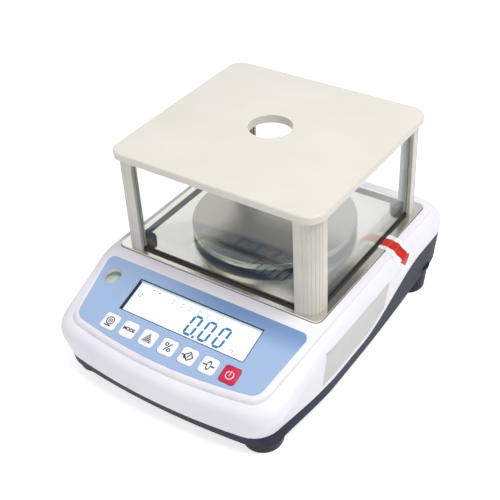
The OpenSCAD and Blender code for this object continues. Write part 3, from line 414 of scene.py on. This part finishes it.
lit_glass, tree, shader, place = start_material(
    "lit_display_glass", "#E9F6FB", 0.12, Coat_Weight=0.6, Emission_Strength=0.42)
glow_size = 60 * mm
glow = add_node(tree, "ShaderNodeTexNoise", {"Scale": 1 / glow_size, "Detail": 1.0}, {"Vector": place})
glow_tint = add_node(tree, "ShaderNodeValToRGB", links={"Fac": glow.outputs["Fac"]})
glow_tint.color_ramp.elements[0].color = srgb("#CDEBF7")
glow_tint.color_ramp.elements[1].color = srgb("#FFFFFF")
tree.links.new(glow_tint.outputs["Color"], shader.inputs["Emission Color"])
paint(lit_glass, "lcd_glass")
# The gasket's upper inner wall is painted pale: a painted light for the display's glow falling on it. The
# rest is black foam.
foam_black, foam_painted_light = "#16202E", "#E4F0F6"
foam_wall, foam_lip = 1.2 * mm, 0.7 * mm
gasket_foam, tree, shader, place = start_material("closed_foam_black", foam_black, 0.75)
grain(tree, shader, place, 0.6 * mm, 0.05 * mm)
gasket_head = panel_reach("display_gasket", panel_up) - foam_wall
gasket_lip = panel_reach("display_gasket", panel_out) - foam_lip
lit_wall = panel_coordinates(tree, place)
near_head = add_node(tree, "ShaderNodeMath", {1: gasket_head}, {0: lit_wall["Y"]}, operation="GREATER_THAN")
below_lip = add_node(tree, "ShaderNodeMath", {1: gasket_lip}, {0: lit_wall["Z"]}, operation="LESS_THAN")
painted_light_mask = add_node(tree, "ShaderNodeMath", operation="MULTIPLY", links={
    0: near_head.outputs[0], 1: below_lip.outputs[0]})
wall_tint = add_node(tree, "ShaderNodeMix", {"A": srgb(foam_black), "B": srgb(foam_painted_light)}, {
    "Factor": painted_light_mask.outputs[0]}, data_type="RGBA")
tree.links.new(wall_tint.outputs["Result"], shader.inputs["Base Color"])
paint(gasket_foam, "display_gasket")

crystal_blue, tree, shader, place = start_material("liquid_crystal_blue", "#4480B7", 0.25)
shade_between(tree, shader, place, 6 * mm, "#3A76AE", "#4F8ABF")
crystal_faint, tree, shader, place = start_material("liquid_crystal_faint", "#C3D6E2", 0.25)
shade_between(tree, shader, place, 6 * mm, "#B9CEDD", "#CFDFE8")

digit_w, digit_h, stroke = 8.0 * mm, 17.0 * mm, 1.95 * mm
digit_lean = math.tan(math.radians(5))
segment_gap, glass_thickness = 0.35 * mm, 2.8 * mm
display_face = panel_place("lcd_glass", glass_thickness)
display_x = (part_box("lcd_glass")[0].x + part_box("lcd_glass")[1].x) / 2
first_digit, digit_pitch, digit_v, digit_count = 5.8 * mm, 11.9 * mm, -2.4 * mm, 3


def segment(x, y, length, width, turn=0.0):
    """One segment of a digit: a flat bar along Y with pointed ends."""
    bpy.ops.mesh.primitive_cylinder_add(
        vertices=6, radius=1, depth=crystal_depth, location=(x, y, crystal_depth / 2))
    made = bpy.context.object
    for vertex in made.data.vertices:
        side = round(vertex.co.x)
        end = math.copysign(1, vertex.co.y)
        vertex.co.x = side * width / 2
        vertex.co.y = end * (length - abs(side) * width) / 2
    made.rotation_euler.z = turn
    return made


def digit_zero(x, y):
    """The six outer segments of a digit, which read as a nought."""
    half_w, half_h = (digit_w - stroke) / 2, (digit_h - stroke) / 2
    flat, upright = 2 * half_w - segment_gap, half_h - segment_gap
    made = [segment(x, y + side * half_h, flat, stroke, math.pi / 2) for side in (-1, 1)]
    for side in (-1, 1):
        for level in (-1, 1):
            made.append(segment(x + side * half_w, y + level * half_h / 2, upright, stroke))
    return made


digits = []
for count in range(digit_count):
    digits += digit_zero(first_digit - display_x + count * digit_pitch, digit_v)
point_x = first_digit - display_x + digit_pitch / 2 - 0.6 * mm
point_v = digit_v - digit_h / 2 + 0.8 * mm
digits.append(bar(point_x, point_v, stroke, stroke))
reading = join(digits)
leaning = Matrix.Identity(4)
leaning[0][1] = digit_lean
leaning[0][3] = -digit_lean * digit_v
reading.data.transform(leaning)
settle(reading, "display_reading", display_face, "base", crystal_blue)

# The small signs round the digits are off, so they show only faintly. Three at the upper left are on.
mark_places = (-18.2, -10.3, -3.5, 4.2, 11.2, 19.0)
marks = [bar(x * mm - display_x, 9.2 * mm, 2.6 * mm, 0.7 * mm) for x in mark_places]
marks += [bar(x * mm - display_x, 6.9 * mm, 1.0 * mm, 1.6 * mm) for x in mark_places[:-1]]
marks.append(bar(42.2 * mm - display_x, -8.6 * mm, 0.8 * mm, 3.0 * mm))
marks.append(bar(40.6 * mm - display_x, -7.6 * mm, 2.4 * mm, 0.7 * mm))
settle(join(marks), "display_marks_off", display_face, "base", crystal_faint)
bpy.ops.mesh.primitive_torus_add(
    location=(-44.6 * mm - display_x, 3.4 * mm, 0), major_radius=1.5 * mm, minor_radius=0.24 * mm,
    major_segments=32, minor_segments=8)
marks = [bpy.context.object, bar(-37.4 * mm - display_x, 10.4 * mm, 1.8 * mm, 0.6 * mm),
         bar(-31.8 * mm - display_x, 10.0 * mm, 2.2 * mm, 0.6 * mm)]
settle(join(marks), "display_marks_on", display_face, "base", crystal_blue)

# Keys: soft white caps, flush with the overlay and slightly crowned. Their signs are printed in dark ink,
# and the power key is red with a white sign.
white_cap, tree, shader, place = start_material("moulded_silicone_white", "#FDFEFF", 0.40)
grain(tree, shader, place, 0.5 * mm, 0.01 * mm)
shade_between(tree, shader, place, 8 * mm, "#FBFCFE", "#FFFFFF")
red_cap, tree, shader, place = start_material("moulded_silicone_red", "#E0385F", 0.36)
grain(tree, shader, place, 0.5 * mm, 0.01 * mm)
shade_between(tree, shader, place, 8 * mm, "#D01F49", "#DC2D55")
dark_ink, tree, shader, place = start_material("screen_ink_dark", "#26262B", 0.55)
grain(tree, shader, place, 0.3 * mm, 0.005 * mm)
white_ink, tree, shader, place = start_material("screen_ink_white", "#FBE9EE", 0.50)
grain(tree, shader, place, 0.3 * mm, 0.005 * mm)
ink = 0.06 * mm


def ring(x, y, radius, width, arc=360.0, start=0.0, stretch=1.0):
    """A flat printed ring or part of a ring."""
    steps = 40
    bpy.ops.mesh.primitive_grid_add(x_subdivisions=steps, y_subdivisions=1, size=1)
    made = bpy.context.object
    for vertex in made.data.vertices:
        angle = math.radians(start + arc * (0.5 - vertex.co.x))
        reach = radius + width * vertex.co.y
        vertex.co = Vector((x + reach * math.cos(angle) * stretch, y + reach * math.sin(angle), ink))
    merge_doubles()
    printed = made.modifiers.new("ink", "SOLIDIFY")
    printed.thickness = ink
    printed.offset = -1.0
    bpy.ops.object.modifier_apply(modifier=printed.name)
    return made


def word(text, size, swell):
    """Printed characters, centred about the middle."""
    bpy.ops.object.text_add(location=(0, 0, ink / 2))
    made = bpy.context.object
    made.data.body = text
    made.data.size = size
    made.data.align_x = "CENTER"
    made.data.align_y = "CENTER"
    made.data.offset = swell
    made.data.extrude = ink / 2
    bpy.ops.object.convert(target="MESH")
    return bpy.context.object


def sign_print():
    """Two rings and a dot above a bar."""
    return [ring(0, 0.5 * mm, 2.9 * mm, 0.75 * mm), ring(0, 0.5 * mm, 1.4 * mm, 0.55 * mm),
            ring(0, 0.5 * mm, 0.3 * mm, 0.6 * mm), bar(-0.6 * mm, -3.4 * mm, 5.0 * mm, 0.95 * mm, depth=ink)]


def sign_mode():
    """The word for changing the mode."""
    return [word("MODE", 3.4 * mm, 0.16 * mm)]


def sign_count():
    """A heap of small rings."""
    rows = [(row, column) for row in range(5) for column in range(row + 1)]
    return [ring((column - row / 2) * 1.5 * mm, (2.9 - row * 1.35) * mm, 0.6 * mm, 0.36 * mm)
            for row, column in rows]


def sign_percent():
    """A percent sign."""
    return [bar(0, 0, 7.4 * mm, 0.8 * mm, math.radians(58), ink),
            ring(-1.7 * mm, 1.9 * mm, 1.05 * mm, 0.75 * mm), ring(1.7 * mm, -1.9 * mm, 1.05 * mm, 0.75 * mm)]


def sign_tare():
    """A square on its corner, with bars in it and beside it."""
    reach = 3.3 * mm
    edges = [bar(x * reach / 2 + 0.6 * mm, y * reach / 2, reach * math.sqrt(2), 0.85 * mm,
                 math.radians(-45 * x * y), ink) for x in (-1, 1) for y in (-1, 1)]
    return edges + [bar(-3.9 * mm, 0, 2.8 * mm, 1.0 * mm, depth=ink),
                    bar(0.5 * mm, 0.1 * mm, 3.4 * mm, 0.75 * mm, math.radians(62), ink),
                    bar(-2.3 * mm, -1.6 * mm, 2.2 * mm, 0.8 * mm, math.radians(-45), ink)]


def sign_zero():
    """A narrow nought between two bars."""
    return [ring(0, 0, 3.0 * mm, 1.1 * mm, stretch=0.48), bar(-3.1 * mm, 0, 3.0 * mm, 1.0 * mm, depth=ink),
            bar(3.1 * mm, 0, 3.0 * mm, 1.0 * mm, depth=ink)]


def sign_power():
    """An open ring with a bar in its gap."""
    return [ring(0, -0.2 * mm, 2.8 * mm, 0.7 * mm, arc=306, start=117),
            bar(0, 1.2 * mm, 3.9 * mm, 0.7 * mm, math.pi / 2, ink)]


key_thickness, key_edge = 2.3 * mm, 0.08 * mm
signs = {"print": sign_print, "mode": sign_mode, "count": sign_count, "percent": sign_percent,
         "tare": sign_tare, "zero": sign_zero, "power": sign_power}
for name, draw in signs.items():
    node = "key_" + name
    power = name == "power"
    skin(node, node, red_cap if power else white_cap,
         angle=25, edge=key_edge, flatten=True)
    settle(join(draw()), node + "_sign", panel_place(node, key_thickness), node,
           white_ink if power else dark_ink)

# Bubble level: a sealed vial of pressed glass with pale green spirit, in a grey cup. The glass is thick
# and a little milky, so that it looks grey-green from above.
cup_plastic, tree, shader, place = start_material("moulded_cup_grey", "#9AA69E", 0.30)
grain(tree, shader, place, 0.5 * mm, 0.02 * mm)
shade_between(tree, shader, place, 6 * mm, "#949F98", "#A3AFA8")
spirit, tree, shader, place = start_material(
    "level_spirit", "#A9BF8A", 0.10, Transmission_Weight=0.4, IOR=1.36)
shade_between(tree, shader, place, 5 * mm, "#9FB57E", "#B9CD9A")
vial_glass, tree, shader, place = start_material(
    "pressed_vial_glass", "#E8F1EA", 0.08, Transmission_Weight=0.2, IOR=1.47)
grain(tree, shader, place, 2 * mm, 0.01 * mm)
shade_between(tree, shader, place, 4 * mm, "#C9D6CC", "#E6EFE8")
paint(cup_plastic, "level_cup")
paint(spirit, "level_liquid")
paint(vial_glass, "level_vial")

# Tray plate: stainless sheet with its edges turned down, brushed so finely that it mirrors the shield
# softly. Four moulded rubber knobs stand on it, and extruded seals of dark rubber lie under the panes.
plate_steel, tree, shader, place = start_material("brushed_stainless", "#EFECE3", 0.18, 1.0)
grain(tree, shader, place, 0.8 * mm, 0.004 * mm, (1, 12, 1))
shade_between(tree, shader, place, 60 * mm, 0.17, 0.19, "Roughness")
paint(plate_steel, "tray_plate")
knob_rubber, tree, shader, place = start_material(
    "moulded_rubber_black", "#111213", 0.60, Specular_IOR_Level=0.15)
grain(tree, shader, place, 0.6 * mm, 0.03 * mm)
paint(knob_rubber, "plate_knobs")
seal_rubber, tree, shader, place = start_material(
    "extruded_seal_dark", "#2B2B27", 0.45, Specular_IOR_Level=0.3)
grain(tree, shader, place, 0.5 * mm, 0.02 * mm, (1, 1, 4))
paint(seal_rubber, "glass_seals")

# Arrow strip: a thin white film, stuck on the plate beside the right pane, over the ridge and down the
# shoulder, where a red arrow is printed on it. It has no words here.
strip_y, strip_w, arrow_w, head_w = 52.3 * mm, 17.5 * mm, 9.2 * mm, 15.0 * mm
seal_gap, plate_margin = 0.4 * mm, 0.6 * mm
strip_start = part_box("glass_seals")[1].x + seal_gap
strip_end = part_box("tray_plate")[1].x - plate_margin
plate_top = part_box("tray_plate")[1].z
shoulder_middle = (88.0 * mm, 56.0 * mm)
shoulder_angles = (92, 84, 77, 72, 56, 48, 40, 32, 24, 16, 8, 0, -8, -16, -24, -32, -39)
sheet_lift = 0.04 * mm
shoulder_outside_mm = 40


def surface_hit(target, origin, direction):
    """Where a line meets a piece from outside, lifted off it by almost nothing."""
    found, spot, normal, face = target.ray_cast(origin, direction)
    return spot + normal * sheet_lift if found else None


def strip_path(y):
    """Places along the strip at one distance from the front, from the pane down to the shoulder."""
    places = [Vector((x, y, plate_top + sheet_lift)) for x in (
        strip_start, (strip_start + strip_end) / 2, strip_end)]
    for angle in shoulder_angles:
        outward = Vector((math.cos(math.radians(angle)), 0, math.sin(math.radians(angle))))
        origin = Vector((shoulder_middle[0], y, shoulder_middle[1])) + outward * shoulder_outside_mm * mm
        places.append(surface_hit(white_housing, origin, -outward))
    return places


def along_path(places, reach):
    """The place at a distance along a path."""
    for first, second in zip(places, places[1:]):
        step = (second - first).length
        if reach <= step:
            return first.lerp(second, reach / step)
        reach -= step
    return places[-1]


sheet_angle = math.radians(75)


def lay_sheet(name, rows, columns, spot, material, thickness):
    """A thin sheet through the places that spot(u, v) gives, u along it and v across it, both 0 to 1."""
    bpy.ops.mesh.primitive_grid_add(x_subdivisions=rows, y_subdivisions=columns, size=1)
    made = bpy.context.object
    for vertex in made.data.vertices:
        vertex.co = spot(vertex.co.x + 0.5, vertex.co.y + 0.5)
    bpy.ops.object.mode_set(mode="EDIT")
    bpy.ops.mesh.select_all(action="SELECT")
    bpy.ops.mesh.normals_make_consistent(inside=False)
    bpy.ops.object.mode_set(mode="OBJECT")
    outward = sum(face.normal.x + face.normal.z for face in made.data.polygons)
    if outward < 0:
        made.data.flip_normals()
    sheet = made.modifiers.new("sheet", "SOLIDIFY")
    sheet.thickness = thickness
    sheet.offset = 1.0
    bpy.ops.object.modifier_apply(modifier=sheet.name)
    bpy.ops.object.shade_smooth_by_angle(angle=sheet_angle)
    settle(made, name, Matrix.Identity(4), "base", material)


strip_paths = {}


def on_strip(reach, y):
    """A place on the strip, a distance along it and at a distance from the front."""
    key = round(y * 1e6)
    if key not in strip_paths:
        strip_paths[key] = strip_path(y)
    return along_path(strip_paths[key], reach)


middle_path = strip_path(strip_y)
strip_length = sum((b - a).length for a, b in zip(middle_path, middle_path[1:]))
film, tree, shader, place = start_material("polyester_film_white", "#F6F8F5", 0.22)
grain(tree, shader, place, 3 * mm, 0.02 * mm)
shade_between(tree, shader, place, 10 * mm, "#F1F4F0", "#FBFCFA")
strip_rows, strip_columns, arrow_columns = 80, 12, 8
film_thickness, print_thickness = 0.05 * mm, 0.02 * mm
lay_sheet("arrow_strip_film", strip_rows, strip_columns,
          lambda u, v: on_strip(u * strip_length, strip_y + (v - 0.5) * strip_w),
          film, film_thickness)
red_print, tree, shader, place = start_material("screen_print_red", "#CE1A0A", 0.30)
grain(tree, shader, place, 0.8 * mm, 0.005 * mm)
shade_between(tree, shader, place, 3 * mm, "#C41206", "#DB2C16")
head_length, head_shift, arrow_shift, past_arrow = 6.5 * mm, 1.6 * mm, -0.8 * mm, 6.5 * mm
arrow_lift_mm = 0.11
arrow_rows = round(strip_rows * (1 - past_arrow / strip_length))
arrow_end = strip_length * arrow_rows / strip_rows


def arrow_spot(u, v):
    """The arrow: a shaft that bends a little, then a head that is wider at its barbs and ends in a point."""
    reach = u * arrow_end
    to_tip = max(0.0, (arrow_end - reach) / head_length)
    width = head_w * to_tip if to_tip < 1 else arrow_w
    along_shaft = min(1.0, reach / (arrow_end - head_length))
    bend = head_shift * math.sin(math.pi * along_shaft / 2) * min(1.0, to_tip)
    spot = on_strip(reach, strip_y + arrow_shift + bend + (v - 0.5) * width)
    return spot + Vector((0.7, 0, 0.7)) * arrow_lift_mm * mm


lay_sheet("arrow_strip_arrow", arrow_rows, arrow_columns, arrow_spot, red_print, print_thickness)

# Rating plate: a thin foil printed in pale grey and stuck on the right wall, with its lower edge along
# the parting line. It is blank.
foil, tree, shader, place = start_material("printed_foil_grey", "#C9C9C4", 0.34)
grain(tree, shader, place, 0.9 * mm, 0.01 * mm)
shade_between(tree, shader, place, 12 * mm, "#C7C7C1", "#CBCBC6")
foil_front, foil_rear, foil_lean = -59.5 * mm, 27.0 * mm, -3.0 * mm
foil_top, foil_clear, foil_thickness = 56.5 * mm, 4.5 * mm, 0.08 * mm
foil_rows, foil_columns = 60, 16
outside_x = 120 * mm
lowest_foot_mm, foot_step_mm, foot_steps = 20, 0.2, 200
wall_feet = {}


def wall_foot(y):
    """The height of the white housing's lower edge on the right, at a distance from the front."""
    key = round(y * 1e6)
    if key not in wall_feet:
        heights = [(lowest_foot_mm + step * foot_step_mm) * mm for step in range(foot_steps)]
        wall_feet[key] = next(z for z in heights if white_housing.ray_cast(
            Vector((outside_x, y, z)), Vector((-1, 0, 0)))[0])
    return wall_feet[key]


def foil_spot(u, v):
    """The foil on the housing's right wall, from its lower edge up."""
    foot = wall_foot(foil_front + u * (foil_rear - foil_front)) + foil_clear
    y = foil_front + u * (foil_rear - foil_front) + (1 - v) * u * foil_lean
    z = foot + v * (foil_top - foot)
    return surface_hit(white_housing, Vector((outside_x, y, z)), Vector((-1, 0, 0)))


lay_sheet("rating_plate", foil_rows, foil_columns, foil_spot, foil, foil_thickness)

# Weighing pan: a disc of stainless sheet, brushed in one direction to a satin face.
# It rests on the carrier's stud and lifts off.
pan_steel, tree, shader, place = start_material("satin_stainless", "#B2AFA4", 0.20, 1.0)
grain(tree, shader, place, 0.9 * mm, 0.002 * mm, (1, 14, 1))
shade_between(tree, shader, place, 90 * mm, 0.19, 0.21, "Roughness")
paint(pan_steel, "weighing_pan")

# Draft shield: four posts with fluted corners, powder-coated in cream, and clear panes of float glass in
# their slots. Light that is gathered or that casts a shadow passes the glass straight.
post_paint, tree, shader, place = start_material("powder_coat_cream", "#E2DFD4", 0.34)
grain(tree, shader, place, 0.8 * mm, 0.015 * mm)
shade_between(tree, shader, place, 30 * mm, "#DAD7CC", "#E1DED4")
paint(post_paint, *("post_" + corner for corner in corners))
pane_glass, tree, shader, place = start_material(
    "float_glass", "#FFFFFF", 0.0, Transmission_Weight=1.0, IOR=1.45, Specular_IOR_Level=0.16)
shade_between(tree, shader, place, 60 * mm, "#FCFFFE", "#FFFFFF")
path = add_node(tree, "ShaderNodeLightPath").outputs
gathering = add_node(tree, "ShaderNodeMath", operation="MAXIMUM", links={
    0: path["Is Shadow Ray"], 1: path["Is Diffuse Ray"]})
clear = add_node(tree, "ShaderNodeBsdfTransparent", {"Color": srgb("#F4F8F6")})
through = add_node(tree, "ShaderNodeMixShader", links={
    0: gathering.outputs[0], 1: shader.outputs[0], 2: clear.outputs[0]})
tree.links.new(through.outputs[0], tree.nodes["Material Output"].inputs["Surface"])
paint(pane_glass, "glass_front", "glass_rear", "glass_left", "glass_right")

# Lid: a cream plate, moulded with rounded edges, with one hole for a funnel. It lies on the posts.
# Between the panes its underside is painted dark, a painted shade for the unlit underside, a guess from what
# the plate mirrors in the photograph.
lid_plastic, tree, shader, place = start_material("moulded_abs_cream", "#EBE6DB", 0.40)
grain(tree, shader, place, 1.1 * mm, 0.03 * mm)
shade_between(tree, shader, place, 50 * mm, "#E4DFD3", "#E8E3D8")
underside_shade_edge, underside_painted_shade, faces_down = 4.0 * mm, "#33312A", -0.5
facing = add_node(tree, "ShaderNodeSeparateXYZ", links={
    "Vector": add_node(tree, "ShaderNodeNewGeometry").outputs["True Normal"]})
painted_shade_mask = add_node(tree, "ShaderNodeMath", {1: faces_down}, {
    0: facing.outputs["Z"]}, operation="LESS_THAN").outputs[0]
spread = add_node(tree, "ShaderNodeSeparateXYZ", links={"Vector": place})
lid_middle = (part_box("shield_lid")[0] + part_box("shield_lid")[1]) / 2
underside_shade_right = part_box("glass_right")[0].x - underside_shade_edge
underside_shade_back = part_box("glass_rear")[0].y - lid_middle.y - underside_shade_edge
for axis, middle, reach in (("X", lid_middle.x, underside_shade_right), ("Y", lid_middle.y, underside_shade_back)):
    inside = add_node(tree, "ShaderNodeMath", {1: middle, 2: reach}, {
        0: spread.outputs[axis]}, operation="COMPARE")
    painted_shade_mask = add_node(tree, "ShaderNodeMath", operation="MULTIPLY", links={
        0: painted_shade_mask, 1: inside.outputs[0]}).outputs[0]
painted_shade_tint = add_node(tree, "ShaderNodeMix", {"B": srgb(underside_painted_shade)}, {
    "Factor": painted_shade_mask, "A": shader.inputs["Base Color"].links[0].from_socket}, data_type="RGBA")
tree.links.new(painted_shade_tint.outputs["Result"], shader.inputs["Base Color"])
skin("shield_lid", "shield_lid", lid_plastic, angle=30)
